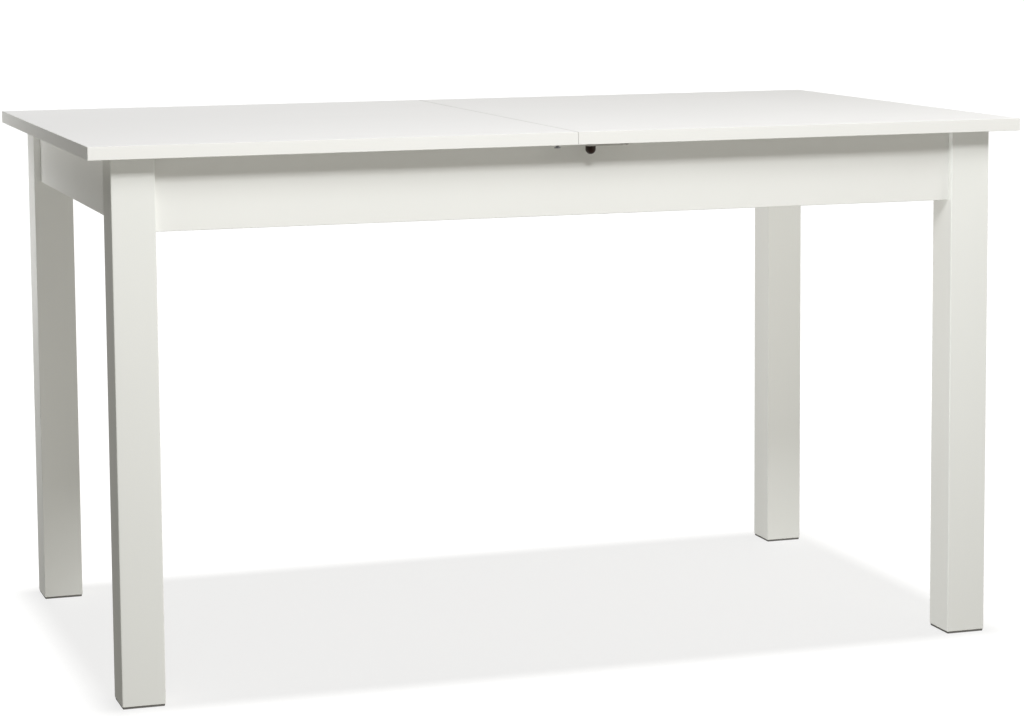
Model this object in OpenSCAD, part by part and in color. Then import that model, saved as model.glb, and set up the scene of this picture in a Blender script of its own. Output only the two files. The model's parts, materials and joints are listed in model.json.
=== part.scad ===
// Extendable dining table: four square legs and four aprons carry a top in two halves.
// Each half slides outwards on hardwood runners, and a loose leaf that is stored lengthwise
// under the top then fills the gap. Turn latches under the front and rear edges hold the
// halves together.
// Millimetres. Origin on the floor at the middle of the table; +X along the length, +Y to the
// rear, +Z up. The table is drawn closed, with both latches released.

/* [Top] */
// Length of the closed top
top_len = 1370; // [1140:10:1645]
// Depth of the top, front to rear
top_depth = 800; // [760:10:960]
// Height of the top surface above the floor
top_h = 770; // [640:5:925]
// Thickness of the boards
board_t = 18; // [16:0.5:22]
// Thickness of the edge banding
band_t = 1; // [0.5:0.1:1.5]
// Width of the joint between the closed halves
seam_gap = 0.4; // [0.3:0.1:1.2]

/* [Loose leaf] */
// Width that the leaf adds to the top
leaf_w = 400; // [330:10:480]
// Free space around the stored leaf
leaf_clear = 1.5; // [1:0.5:3]

/* [Legs and aprons] */
// Side of the square legs
leg_w = 60; // [50:1:72]
// Distance from the ends of the top to the legs
leg_inset_x = 35; // [25:1:45]
// Distance from the long edges of the top to the legs
leg_inset_y = 30; // [25:1:40]
// Radius along the edges of the legs
leg_round = 1.5; // [0.5:0.5:3]
// Height of the plastic glides under the legs
glide_h = 3; // [2:0.5:5]
// Thickness of the aprons
apron_t = 18; // [15:0.5:22]
// Height of the front and rear aprons
apron_h = 100; // [95:1:130]
// How far the end aprons stop short of the lower edge of the long ones
end_apron_rise = 14; // [0:1:16]
// How far the aprons sit back from the outer faces of the legs
apron_set = 10; // [5:1:15]
// Clearance between the sliding boards and the frame
slide_gap = 2; // [1.5:0.5:4]

/* [Slides] */
// Depth of the grooved guide rails, from the apron inwards
rail_d = 28; // [24:1:34]
// Height of the guide rails
rail_h = 30; // [28:1:36]
// Depth of the groove in the guide rails
groove_d = 11; // [8:0.5:13]
// Thickness of the tongue that runs in the groove
tongue_t = 10; // [8:0.5:12]
// Clearance of the tongue in the groove, on each side
tongue_clear = 0.4; // [0.3:0.1:0.8]
// Width of the runners under the boards
runner_w = 24; // [20:1:28]
// Length of the stops glued into the ends of the grooves
stop_len = 29; // [20:1:35]

/* [Leaf bearers] */
// Width of the two cross bearers
bearer_w = 30; // [24:1:36]
// Height of the two cross bearers
bearer_h = 26; // [20:1:30]
// Distance from the middle of the table to each bearer
bearer_x = 300; // [290:1:330]
// Thickness of the felt on the bearers
felt_t = 2; // [1:0.5:3]

/* [Latches] */
// Distance from the seam to a latch pivot
pivot_x = 24; // [20:1:30]
// Distance from the seam to a strike pin
strike_x = 25; // [20:1:30]
// Distance from the edge of the top to the latches
latch_inset = 18; // [16:0.5:20]
// Diameter of the latch knob
knob_d = 14.6; // [12:0.2:17]
// Height of the latch knob
knob_h = 11.7; // [9:0.1:13]
// Thickness of the latch lever
lever_t = 2; // [1.5:0.1:3]
// Running clearance above and below the lever
lever_clear = 0.3; // [0.2:0.05:0.5]
// Diameter of the pivot and strike pins
pin_d = 5; // [4:0.5:6]

/* [Dowels and fixings] */
// Diameter of the wooden dowels
dowel_d = 8; // [6:1:10]
// Length of the wooden dowels
dowel_len = 30; // [24:1:36]
// Distance from the middle of the seam to its outer dowels
seam_dowel_y = 250; // [200:10:270]
// Diameter of the hanger bolts
bolt_d = 8; // [6:1:10]
// Thickness of the steel corner brackets
bracket_t = 2.5; // [2:0.5:4]
// Height of the steel corner brackets
bracket_h = 36; // [30:1:40]
// Diameter of the wood screws
screw_d = 4; // [3:0.5:5]

/* [Hidden] */
$fn = 48;

melamine = "#f1efea";
beech = "#cda873";
steel = "#b9bcc0";
white_plastic = "#e9e8e4";
brown_plastic = "#2b1a14";
felt_grey = "#6f6d69";

// levels
under_z = top_h - board_t;
frame_top = under_z - slide_gap;
apron_z = frame_top - apron_h;
end_apron_z = apron_z + end_apron_rise;
mid_z = top_h - board_t / 2;

// plan: centres and inner faces of the legs, faces of the aprons, in the +X +Y quarter
half_len = top_len / 2;
half_depth = top_depth / 2;
leg_x = half_len - leg_inset_x - leg_w / 2;
leg_y = half_depth - leg_inset_y - leg_w / 2;
leg_in_x = leg_x - leg_w / 2;
leg_in_y = leg_y - leg_w / 2;
apron_out_y = leg_y + leg_w / 2 - apron_set;
apron_in_y = apron_out_y - apron_t;
apron_out_x = leg_x + leg_w / 2 - apron_set;
apron_in_x = apron_out_x - apron_t;

// slides: half the leaf is the travel of each half
travel = leaf_w / 2;
pad_clear = 0.4;
pad_d = 22;
rail_drop = 4;
runner_lift = 4;
pad_t = slide_gap - pad_clear;
rail_in_y = apron_in_y - rail_d;
rail_top = frame_top - rail_drop;
rail_z = rail_top - rail_h;
groove_mid_z = rail_z + rail_h / 2 - 1;
groove_h = tongue_t + 2 * tongue_clear;
groove_wall_y = rail_in_y + groove_d;
RAIL_SCREW_XS = [for (i = [-2 : 2]) i * leg_in_x * 0.42];
runner_gap = 1;
runner_out_y = rail_in_y - runner_gap;
runner_x0 = 20;
stop_gap = 1;
runner_x1 = leg_in_x - stop_len - stop_gap - travel;
runner_z = rail_z + runner_lift;
runner_in_y = runner_out_y - runner_w;
RUNNER_SCREW_XS = [for (i = [0 : 3]) runner_x0 + 25 + i * (runner_x1 - runner_x0 - 50) / 3];

// leaf, stored with its long side along X
leaf_len = top_depth;
leaf_z = rail_z + felt_t;
felt_edge = 3;
cleat_l = 12;
cleat_h = 14;
cleat_y = leaf_w / 2 + leaf_clear;
angle_t = 2;
angle_w = 22;
angle_arm = 28;
angle_screw = 16;

// latch stack, measured down from the underside of the boards
collar_t = 1;
collar_d = pin_d + 5;
strike_l = 28;
strike_w = 12;
lever_z = under_z - collar_t - lever_clear - lever_t;
head_t = 1.6;
head_z = lever_z - lever_clear - head_t;
head_d = pin_d + 4;
pin_bite = 12;
pin_clear = 0.05;
lever_w = 11;
hook_d = 15;
hook_clear = 0.6;
pocket_play = 0.4;
latch_y = half_depth - latch_inset;
hook_reach = pivot_x + strike_x;

// corner hardware
bracket_z = end_apron_z + 4;
bolt_z = bracket_z + bracket_h / 2;
standoff = 15;
bracket_arm = 40;
bracket_sum = leg_in_x + leg_in_y - 2 * standoff;
leg_flat = 14;
leg_flat_more = 8;
bolt_end = 4;
bolt_hole_d = bolt_d + 1;
bolt_in_leg = 40;
nut_h = 6.5;
nut_af = 13;
washer_t = 1.6;
washer_d = 18;
plate_s = standoff * sqrt(2) + bracket_t;
screw_head_d = 8;
screw_head_t = 2;
screw_play = 0.2;
screw_bite = 12;
screw_edge = 10;
head_sink = screw_head_t + 0.5;
runner_sink = 2 * head_sink;

// glides
glide_w = leg_w - 2;
glide_round = 1.5;
glide_stem_d = 8;
glide_stem_h = 12;

// seam dowels: sockets that they slide into, and the short end play of the glued ones
socket_d = dowel_d + 0.6;
socket_depth = dowel_len / 2 + 2;
dowel_end_play = 0.5;

QUARTERS = [[-1, -1], [1, -1], [-1, 1], [1, 1]];
SEAM_YS = [-seam_dowel_y, 0, seam_dowel_y];

// ---- shared shapes ----

// square with rounded corners, centred
module rounded_square(w, r) {
    square([w - 2 * r, w], center = true);
    square([w, w - 2 * r], center = true);
    for (q = QUARTERS)
        translate([q[0] * (w / 2 - r), q[1] * (w / 2 - r)])
            circle(r);
}

// place a piece drawn in the +X +Y quarter into quarter q
module in_quarter(q) {
    scale_x = q[0] < 0 ? 1 : 0;
    scale_y = q[1] < 0 ? 1 : 0;
    mirror([scale_x, 0, 0])
        mirror([0, scale_y, 0])
            children();
}

// turn half a turn about the table's upright axis
module half_turn() {
    rotate([0, 0, 180])
        children();
}

// box from one corner to the opposite one
module box(low, high) {
    translate(low)
        cube(high - low);
}

// pan-head wood screw: head on z = 0, shank below it
module screw(shank) {
    cylinder(d = screw_head_d, h = screw_head_t, $fn = 24);
    translate([0, 0, -shank])
        cylinder(d = screw_d, h = shank, $fn = 24);
}

// hole for that screw: a pocket round the head, up to rim above z = 0, and a clear bore below
module screw_hole(shank, rim) {
    cylinder(d = screw_head_d + 2 * screw_play, h = rim, $fn = 24);
    translate([0, 0, -shank])
        cylinder(d = screw_d + 2 * screw_play, h = shank + 1, $fn = 24);
}

// bar along the diagonal of a leg, at distances s0 to s1 inwards of the leg's inner edge
module diagonal(s0, s1, d, sides = 32) {
    translate([leg_in_x, leg_in_y, bolt_z])
        rotate([90, 0, -45])
            rotate([0, 0, 30])
                translate([0, 0, s0])
                    cylinder(d = d, h = s1 - s0, $fn = sides);
}

// ---- frame ----

module leg(q) {
    color(melamine)
        in_quarter(q)
            difference() {
                translate([leg_x, leg_y, glide_h])
                    linear_extrude(frame_top - glide_h)
                        rounded_square(leg_w, leg_round);
                leg_bores();
            }
}

// dowel bores, the flat behind the bracket, the bolt's bore and the glide's socket
module leg_bores() {
    apron_dowel_rods(0);
    translate([leg_in_x, leg_in_y, bolt_z])
        rotate([0, 0, 45])
            cube([leg_flat, 2 * leg_flat, bracket_h + leg_flat_more], center = true);
    diagonal(-bolt_in_leg, leg_flat, bolt_d);
    translate([leg_x, leg_y, 0])
        cylinder(d = glide_stem_d, h = glide_h + glide_stem_h);
}

module glide(q) {
    color(white_plastic)
        in_quarter(q)
            translate([leg_x, leg_y, 0]) {
                linear_extrude(glide_h)
                    rounded_square(glide_w, glide_round);
                cylinder(d = glide_stem_d, h = glide_h + glide_stem_h - dowel_end_play);
            }
}

// levels of the two dowels in an apron with that lower edge
function dowel_levels(low_z) = [for (part = [0.25, 0.75]) low_z + part * (frame_top - low_z)];

// dowels of one corner: two into the long apron, two into the end apron
module apron_dowel_rods(short) {
    for (z = dowel_levels(apron_z))
        translate([leg_in_x - dowel_len / 2 + short, (apron_in_y + apron_out_y) / 2, z])
            rotate([0, 90, 0])
                cylinder(d = dowel_d, h = dowel_len - 2 * short);
    for (z = dowel_levels(end_apron_z))
        translate([(apron_in_x + apron_out_x) / 2, leg_in_y - dowel_len / 2 + short, z])
            rotate([-90, 0, 0])
                cylinder(d = dowel_d, h = dowel_len - 2 * short);
}

module apron_dowels() {
    color(beech)
        for (q = QUARTERS)
            in_quarter(q)
                apron_dowel_rods(dowel_end_play);
}

module long_apron(side) {
    color(melamine)
        difference() {
            box([-leg_in_x, min(side * apron_in_y, side * apron_out_y), apron_z],
                [leg_in_x, max(side * apron_in_y, side * apron_out_y), frame_top]);
            for (end = [-1, 1])
                in_quarter([end, side])
                    apron_dowel_rods(0);
        }
}

module end_apron(side) {
    color(melamine)
        difference() {
            box([min(side * apron_in_x, side * apron_out_x), -leg_in_y, end_apron_z],
                [max(side * apron_in_x, side * apron_out_x), leg_in_y, frame_top]);
            for (end = [-1, 1])
                in_quarter([side, end])
                    apron_dowel_rods(0);
        }
}

// bent steel bracket across a corner, with a screw flange on each apron
module bracket(q) {
    bend = tan(22.5) * bracket_t;
    bend_x = bracket_sum - apron_in_y;
    bend_y = bracket_sum - apron_in_x;
    color(steel)
        in_quarter(q)
            difference() {
                translate([0, 0, bracket_z])
                    linear_extrude(bracket_h)
                        polygon([
                            [bend_x - bracket_arm, apron_in_y],
                            [bend_x, apron_in_y],
                            [apron_in_x, bend_y],
                            [apron_in_x, bend_y - bracket_arm],
                            [apron_in_x - bracket_t, bend_y - bracket_arm],
                            [apron_in_x - bracket_t, bend_y - bend],
                            [bend_x - bend, apron_in_y - bracket_t],
                            [bend_x - bracket_arm, apron_in_y - bracket_t]]);
                diagonal(0, 2 * standoff, bolt_hole_d);
                bracket_fixings()
                    translate([0, 0, -bracket_t - 1])
                        cylinder(d = screw_d + 2 * screw_play, h = bracket_t + 2, $fn = 24);
            }
}

// places its children at each screw of a bracket: z = 0 on the flange, +Z away from the apron
module bracket_fixings() {
    for (z = [bracket_z + screw_edge, bracket_z + bracket_h - screw_edge]) {
        translate([bracket_sum - apron_in_y - bracket_arm / 2, apron_in_y - bracket_t, z])
            rotate([90, 0, 0])
                children();
        translate([apron_in_x - bracket_t, bracket_sum - apron_in_x - bracket_arm / 2, z])
            rotate([0, -90, 0])
                children();
    }
}

module bracket_screws() {
    color(steel)
        for (q = QUARTERS)
            in_quarter(q)
                bracket_fixings()
                    screw(bracket_t + screw_bite);
}

module hanger_bolt(q) {
    color(steel)
        in_quarter(q)
            diagonal(-bolt_in_leg, plate_s + washer_t + nut_h + bolt_end, bolt_d);
}

module hanger_nuts() {
    color(steel)
        for (q = QUARTERS)
            in_quarter(q)
                difference() {
                    union() {
                        diagonal(plate_s, plate_s + washer_t, washer_d);
                        diagonal(plate_s + washer_t, plate_s + washer_t + nut_h,
                            nut_af / cos(30), 6);
                    }
                    diagonal(plate_s - 1, plate_s + washer_t + nut_h + 1, bolt_d + 2 * pin_clear);
                }
}

// ---- slides, fixed part ----

module rail(side) {
    color(beech)
        on_side(side)
            difference() {
                box([-leg_in_x, rail_in_y, rail_z], [leg_in_x, apron_in_y, rail_top]);
                box([-leg_in_x - 1, rail_in_y - 1, groove_mid_z - groove_h / 2],
                    [leg_in_x + 1, groove_wall_y, groove_mid_z + groove_h / 2]);
                rail_fixings()
                    screw_hole(rail_d, 5);
            }
}

// a piece drawn on the +Y side, on side 1 or mirrored to side -1
module on_side(side) {
    mirror([0, side < 0 ? 1 : 0, 0])
        children();
}

// places its children at each screw of a rail: z = 0 under the sunk head, +Z towards the groove
module rail_fixings() {
    for (x = RAIL_SCREW_XS)
        translate([x, groove_wall_y + head_sink, groove_mid_z])
            rotate([90, 0, 0])
                children();
}

module rail_screws() {
    color(steel)
        for (side = [-1, 1])
            on_side(side)
                rail_fixings()
                    screw(apron_in_y - groove_wall_y - head_sink + screw_bite);
}

module rail_stops(side) {
    color(beech)
        on_side(side)
            for (end = [-1, 1])
                mirror([end < 0 ? 1 : 0, 0, 0])
                    box([leg_in_x - stop_len, rail_in_y, groove_mid_z - groove_h / 2],
                        [leg_in_x, groove_wall_y, groove_mid_z + groove_h / 2]);
}

// nylon buttons on top of the legs, which the boards slide over
module slide_pads() {
    color(white_plastic)
        for (q = QUARTERS)
            translate([q[0] * leg_x, q[1] * leg_y, frame_top])
                cylinder(d = pad_d, h = pad_t);
}

// ---- bearers that hold the stored leaf ----

module bearer(side) {
    color(beech)
        translate([side * bearer_x, 0, rail_z - bearer_h / 2])
            cube([bearer_w, 2 * apron_in_y, bearer_h], center = true);
}

module bearer_angles() {
    color(steel)
        for (q = QUARTERS)
            in_quarter(q)
                difference() {
                    translate([bearer_x - angle_w / 2, apron_in_y, rail_z - bearer_h])
                        rotate([90, 0, 90])
                            linear_extrude(angle_w)
                                polygon([[0, 0], [0, -angle_arm], [-angle_t, -angle_arm],
                                    [-angle_t, -angle_t], [-angle_arm, -angle_t], [-angle_arm, 0]]);
                    angle_fixings()
                        screw_hole(angle_t, 1);
                }
}

// places its children at the two screws of an angle: z = 0 on the steel, +Z away from the wood
module angle_fixings() {
    translate([bearer_x, apron_in_y - angle_t, rail_z - bearer_h - angle_screw])
        rotate([90, 0, 0])
            children();
    translate([bearer_x, apron_in_y - angle_screw, rail_z - bearer_h - angle_t])
        mirror([0, 0, 1])
            children();
}

module bearer_screws() {
    color(steel)
        for (q = QUARTERS)
            in_quarter(q)
                angle_fixings()
                    screw(angle_t + screw_bite);
}

module felt(side) {
    color(felt_grey)
        translate([side * bearer_x, 0, rail_z + felt_t / 2])
            cube([bearer_w - 2 * felt_edge, leaf_w - 2 * felt_edge, felt_t], center = true);
}

module leaf_cleats() {
    color(beech)
        for (q = QUARTERS)
            in_quarter(q)
                box([bearer_x - bearer_w / 2, cleat_y, rail_z],
                    [bearer_x + bearer_w / 2, cleat_y + cleat_l, rail_z + cleat_h]);
}

// ---- top halves ----

// edge banding round a board, between opposite corners
module banding(low, high) {
    difference() {
        box(low, high);
        box([low[0] + band_t, low[1] + band_t, low[2] - 1],
            [high[0] - band_t, high[1] - band_t, high[2] + 1]);
    }
}

// the board inside that banding
module banded_board(low, high) {
    box([low[0] + band_t, low[1] + band_t, low[2]], [high[0] - band_t, high[1] - band_t, high[2]]);
}

// opposite corners of half the top, on the +X side
HALF_LOW = [seam_gap / 2, -half_depth, under_z];
HALF_HIGH = [half_len, half_depth, top_h];

// dowel holes in the seam edge of that half
module seam_holes(d, depth) {
    for (y = SEAM_YS)
        translate([seam_gap / 2 - 1, y, mid_z])
            rotate([0, 90, 0])
                cylinder(d = d, h = depth + 1);
}

// bores for the pins of a latch pivot and of the other latch's strike
module latch_bores() {
    translate([pivot_x, -latch_y, under_z - 1])
        cylinder(d = pin_d, h = pin_bite + 1);
    translate([strike_x, latch_y, under_z - 1])
        cylinder(d = pin_d, h = pin_bite + 1);
}

module board_right() {
    color(melamine)
        difference() {
            banded_board(HALF_LOW, HALF_HIGH);
            seam_holes(dowel_d, dowel_len / 2);
            latch_bores();
        }
}

module band_right() {
    color(melamine)
        difference() {
            banding(HALF_LOW, HALF_HIGH);
            seam_holes(dowel_d, dowel_len / 2);
        }
}

module board_left() {
    color(melamine)
        half_turn()
            difference() {
                banded_board(HALF_LOW, HALF_HIGH);
                seam_holes(socket_d, socket_depth);
                latch_bores();
            }
}

module band_left() {
    color(melamine)
        half_turn()
            difference() {
                banding(HALF_LOW, HALF_HIGH);
                seam_holes(socket_d, socket_depth);
            }
}

// dowels glued into the right half, entering the left half with a little slack
module seam_dowels() {
    color(beech)
        for (y = SEAM_YS)
            translate([seam_gap / 2 - dowel_len / 2, y, mid_z])
                rotate([0, 90, 0])
                    cylinder(d = dowel_d, h = dowel_len);
}

module runner(q) {
    color(beech)
        in_quarter(q)
            difference() {
                union() {
                    box([runner_x0, runner_in_y, runner_z], [runner_x1, runner_out_y, under_z]);
                    box([runner_x0, runner_out_y - 1, groove_mid_z - tongue_t / 2],
                        [runner_x1, groove_wall_y - 2 * tongue_clear, groove_mid_z + tongue_t / 2]);
                }
                runner_fixings()
                    screw_hole(under_z - runner_z, runner_sink + 1);
            }
}

// places its children at each screw of a runner: z = 0 under the sunk head, +Z downwards
module runner_fixings() {
    for (x = RUNNER_SCREW_XS)
        translate([x, (runner_in_y + runner_out_y) / 2, runner_z + runner_sink])
            mirror([0, 0, 1])
                children();
}

module runner_screws(side) {
    color(steel)
        for (y_side = [-1, 1])
            in_quarter([side, y_side])
                runner_fixings()
                    screw(under_z - runner_z - runner_sink + screw_bite);
}

// ---- latches: the front one is drawn, the rear one is it turned half a turn ----

// round pin into the board with a collar above the lever and a head below it
module headed_pin() {
    translate([0, 0, head_z])
        cylinder(d = head_d, h = head_t);
    translate([0, 0, head_z])
        cylinder(d = pin_d, h = under_z - head_z + pin_bite);
    translate([0, 0, under_z - collar_t])
        cylinder(d = collar_d, h = collar_t);
}

// strike: a headed pin in a small plate
module strike() {
    headed_pin();
    box([-strike_l / 2, -strike_w / 2, under_z - collar_t], [strike_l / 2, strike_w / 2, under_z]);
}

module front_strike() {
    color(steel)
        translate([-strike_x, -latch_y, 0])
            strike();
}

module front_pivot() {
    color(steel)
        translate([pivot_x, -latch_y, 0])
            headed_pin();
}

// lever with a hook whose mouth opens towards the front edge while the lever is parked
module front_lever() {
    slot_w = pin_d + 2 * hook_clear;
    color(steel)
        translate([pivot_x, -latch_y, lever_z])
            linear_extrude(lever_t)
                difference() {
                    union() {
                        circle(d = knob_d);
                        translate([0, -lever_w / 2])
                            square([hook_reach, lever_w]);
                        translate([hook_reach, 0])
                            circle(d = hook_d);
                    }
                    circle(d = pin_d + 2 * pin_clear);
                    translate([hook_reach, 0])
                        circle(d = slot_w);
                    translate([hook_reach - slot_w / 2, -hook_d])
                        square([slot_w, hook_d]);
                }
}

// domed knob fixed under the lever, hollow round the head of the pivot
module front_knob() {
    r = knob_d / 2;
    pocket_r = head_d / 2 + pocket_play;
    pocket_z = head_z - pocket_play - lever_z;
    wall_z = -(knob_h - r);
    color(brown_plastic)
        translate([pivot_x, -latch_y, lever_z])
            difference() {
                rotate_extrude() {
                    translate([0, wall_z])
                        square([r, -wall_z]);
                    translate([0, wall_z])
                        intersection() {
                            circle(r);
                            translate([0, -r])
                                square([r, r]);
                        }
                }
                translate([0, 0, pocket_z])
                    cylinder(r = pocket_r, h = knob_h);
            }
}

// ---- loose leaf ----

// places what is drawn as on the extended table (long side along Y, underside at z = 0)
// where the leaf lies in store
module stored() {
    translate([0, 0, leaf_z])
        rotate([0, 0, 90])
            children();
}

// opposite corners of the leaf as it lies on the extended table
LEAF_LOW = [-leaf_w / 2, -leaf_len / 2, 0];
LEAF_HIGH = [leaf_w / 2, leaf_len / 2, board_t];

// dowel bores in one long edge of the leaf and sockets in the other
module leaf_holes() {
    for (y = SEAM_YS) {
        translate([-leaf_w / 2 - 1, y, board_t / 2])
            rotate([0, 90, 0])
                cylinder(d = dowel_d, h = dowel_len / 2 + 1);
        translate([leaf_w / 2 + 1, y, board_t / 2])
            rotate([0, -90, 0])
                cylinder(d = socket_d, h = socket_depth + 1);
    }
}

// places its children at the two strikes of the leaf, which the latches of the halves catch
module leaf_strike_places() {
    for (turn = [0, 180])
        rotate([0, 0, turn])
            translate([leaf_w / 2 - strike_x, -latch_y, 0])
                children();
}

module leaf_board() {
    color(melamine)
        stored()
            difference() {
                banded_board(LEAF_LOW, LEAF_HIGH);
                leaf_holes();
                leaf_strike_places()
                    translate([0, 0, -1])
                        cylinder(d = pin_d, h = pin_bite + 1);
            }
}

module leaf_band() {
    color(melamine)
        stored()
            difference() {
                banding(LEAF_LOW, LEAF_HIGH);
                leaf_holes();
            }
}

module leaf_dowels() {
    color(beech)
        stored()
            for (y = SEAM_YS)
                translate([-leaf_w / 2 - dowel_len / 2, y, board_t / 2])
                    rotate([0, 90, 0])
                        cylinder(d = dowel_d, h = dowel_len);
}

module leaf_strikes() {
    color(steel)
        stored()
            leaf_strike_places()
                translate([0, 0, -under_z])
                    strike();
}

leg([-1, -1]);  // leg_fl
leg([1, -1]);  // leg_fr
leg([-1, 1]);  // leg_rl
leg([1, 1]);  // leg_rr
glide([-1, -1]);  // glide_fl
glide([1, -1]);  // glide_fr
glide([-1, 1]);  // glide_rl
glide([1, 1]);  // glide_rr
long_apron(-1);  // apron_front
long_apron(1);  // apron_rear
end_apron(-1);  // apron_left
end_apron(1);  // apron_right
apron_dowels();
bracket([-1, -1]);  // bracket_fl
bracket([1, -1]);  // bracket_fr
bracket([-1, 1]);  // bracket_rl
bracket([1, 1]);  // bracket_rr
bracket_screws();
hanger_bolt([-1, -1]);  // hanger_bolt_fl
hanger_bolt([1, -1]);  // hanger_bolt_fr
hanger_bolt([-1, 1]);  // hanger_bolt_rl
hanger_bolt([1, 1]);  // hanger_bolt_rr
hanger_nuts();
rail(-1);  // rail_front
rail(1);  // rail_rear
rail_screws();
rail_stops(-1);  // rail_stops_front
rail_stops(1);  // rail_stops_rear
slide_pads();
bearer(-1);  // bearer_left
bearer(1);  // bearer_right
bearer_angles();
bearer_screws();
felt(-1);  // felt_left
felt(1);  // felt_right
leaf_cleats();
board_left();
band_left();
runner([-1, -1]);  // runner_fl
runner([-1, 1]);  // runner_rl
runner_screws(-1);  // runner_screws_left
front_strike();  // strike_front
board_right();
band_right();
runner([1, -1]);  // runner_fr
runner([1, 1]);  // runner_rr
runner_screws(1);  // runner_screws_right
half_turn() front_strike();  // strike_rear
seam_dowels();
front_lever();  // latch_lever_front
front_knob();  // latch_knob_front
front_pivot();  // latch_pivot_front
half_turn() front_lever();  // latch_lever_rear
half_turn() front_knob();  // latch_knob_rear
half_turn() front_pivot();  // latch_pivot_rear
leaf_board();
leaf_band();
leaf_dowels();
leaf_strikes();
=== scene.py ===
# %% [markdown]
# # An extendable dining table
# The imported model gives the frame: every body and node of the real construction, in metres,
# standing on the floor with its long side along X. The table is closed, its two top halves meet
# at a seam, and everything that follows is built round those nodes without moving them.

# %% Load the frame
import json
import math

import bmesh
import bpy
import numpy as np
from mathutils import Matrix, Vector


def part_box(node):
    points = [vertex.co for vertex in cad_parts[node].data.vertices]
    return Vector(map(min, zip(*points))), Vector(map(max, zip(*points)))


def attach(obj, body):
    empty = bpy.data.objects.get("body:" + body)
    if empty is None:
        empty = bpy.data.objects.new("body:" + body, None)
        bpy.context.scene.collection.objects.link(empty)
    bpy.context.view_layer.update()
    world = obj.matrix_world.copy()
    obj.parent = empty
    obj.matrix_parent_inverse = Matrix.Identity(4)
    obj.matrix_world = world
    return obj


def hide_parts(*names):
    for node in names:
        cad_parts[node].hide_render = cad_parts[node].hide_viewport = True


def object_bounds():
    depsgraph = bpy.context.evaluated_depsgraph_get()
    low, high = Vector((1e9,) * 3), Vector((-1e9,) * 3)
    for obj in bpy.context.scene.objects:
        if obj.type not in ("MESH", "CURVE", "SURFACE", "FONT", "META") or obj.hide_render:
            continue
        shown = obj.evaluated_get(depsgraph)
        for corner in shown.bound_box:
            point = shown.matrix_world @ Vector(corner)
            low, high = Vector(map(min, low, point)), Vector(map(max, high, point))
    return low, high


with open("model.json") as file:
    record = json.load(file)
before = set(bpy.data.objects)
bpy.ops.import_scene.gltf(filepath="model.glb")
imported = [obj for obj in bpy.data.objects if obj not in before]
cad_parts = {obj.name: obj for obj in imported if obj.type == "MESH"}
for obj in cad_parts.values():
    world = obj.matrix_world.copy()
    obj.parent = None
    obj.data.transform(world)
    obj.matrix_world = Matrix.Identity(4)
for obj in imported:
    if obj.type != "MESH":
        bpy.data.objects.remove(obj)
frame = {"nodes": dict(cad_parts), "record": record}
CAD_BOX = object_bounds()
NODES = frame["nodes"]
BODY_OF = {n: body for body, names in frame["record"]["behaviour"]["bodies"].items() for n in names}
print("nodes:", len(NODES), "box:", [tuple(round(c, 4) for c in corner) for corner in CAD_BOX])

# %% [markdown]
# ## The view
# A product picture is taken from a few metres away with a long lens, so that upright lines stay
# nearly parallel. The camera stands in front of the table, a little to its left and just above the
# top. Its direction is built from three turns (yaw, pitch and roll), because a matrix made of the
# three camera axes needs no aiming constraint. A small lens shift holds the table in the frame.

# %% Camera
IMAGE_LONG_SIDE = 1024
SENSOR_MM = 36.0
FOCAL_PX = 2851.0
CAMERA_PLACE = Vector((-1.3106, -4.1312, 1.0564))
YAW, PITCH, ROLL = 0.314137, 0.109673, -0.007389
SHIFT_PX = -120


def camera_axes(yaw, pitch, roll):
    """Right, up and forward: forward is +Y turned right by yaw and down by pitch, and the other
    two are square to it and then turned round it by roll."""
    forward = Vector((math.sin(yaw) * math.cos(pitch), math.cos(yaw) * math.cos(pitch), -math.sin(pitch)))
    level = Vector((math.cos(yaw), -math.sin(yaw), 0.0))
    above = level.cross(forward)
    right = level * math.cos(roll) + above * math.sin(roll)
    return right, right.cross(forward), forward


right, up, forward = camera_axes(YAW, PITCH, ROLL)
camera_data = bpy.data.cameras.new("camera")
camera_data.sensor_width = SENSOR_MM
camera_data.lens = FOCAL_PX / IMAGE_LONG_SIDE * SENSOR_MM
camera_data.shift_y = SHIFT_PX / IMAGE_LONG_SIDE
camera = bpy.data.objects.new("camera", camera_data)
turn = Matrix((right, up, -forward)).transposed().to_4x4()
camera.matrix_world = Matrix.Translation(CAMERA_PLACE) @ turn
bpy.context.scene.collection.objects.link(camera)
bpy.context.scene.camera = camera
bpy.context.scene.view_settings.view_transform = "Standard"
print("lens:", round(camera_data.lens, 1), "mm")

# %% [markdown]
# ## Finishes
# A finish is a small node tree. Written socket by socket it would be long and hard to read, so
# one class stands for an output of a node and lets Python's own signs add the Math nodes, and
# another class holds the material and adds every other kind of node through a single method.

# %% Shader helpers
class Wire:
    """One output of a node. The signs + - and * add a Math node, from either side of the sign."""

    def __init__(self, tree, socket):
        self.tree = tree
        self.socket = socket

    def maths(self, operation, first, second):
        return self.tree.node("ShaderNodeMath", {"operation": operation}, {0: first, 1: second})

    def __add__(self, other):
        return self.maths("ADD", self, other)

    def __sub__(self, other):
        return self.maths("SUBTRACT", self, other)

    def __rsub__(self, other):
        return self.maths("SUBTRACT", other, self)

    def __mul__(self, other):
        return self.maths("MULTIPLY", self, other)

    __radd__ = __add__
    __rmul__ = __mul__


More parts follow.
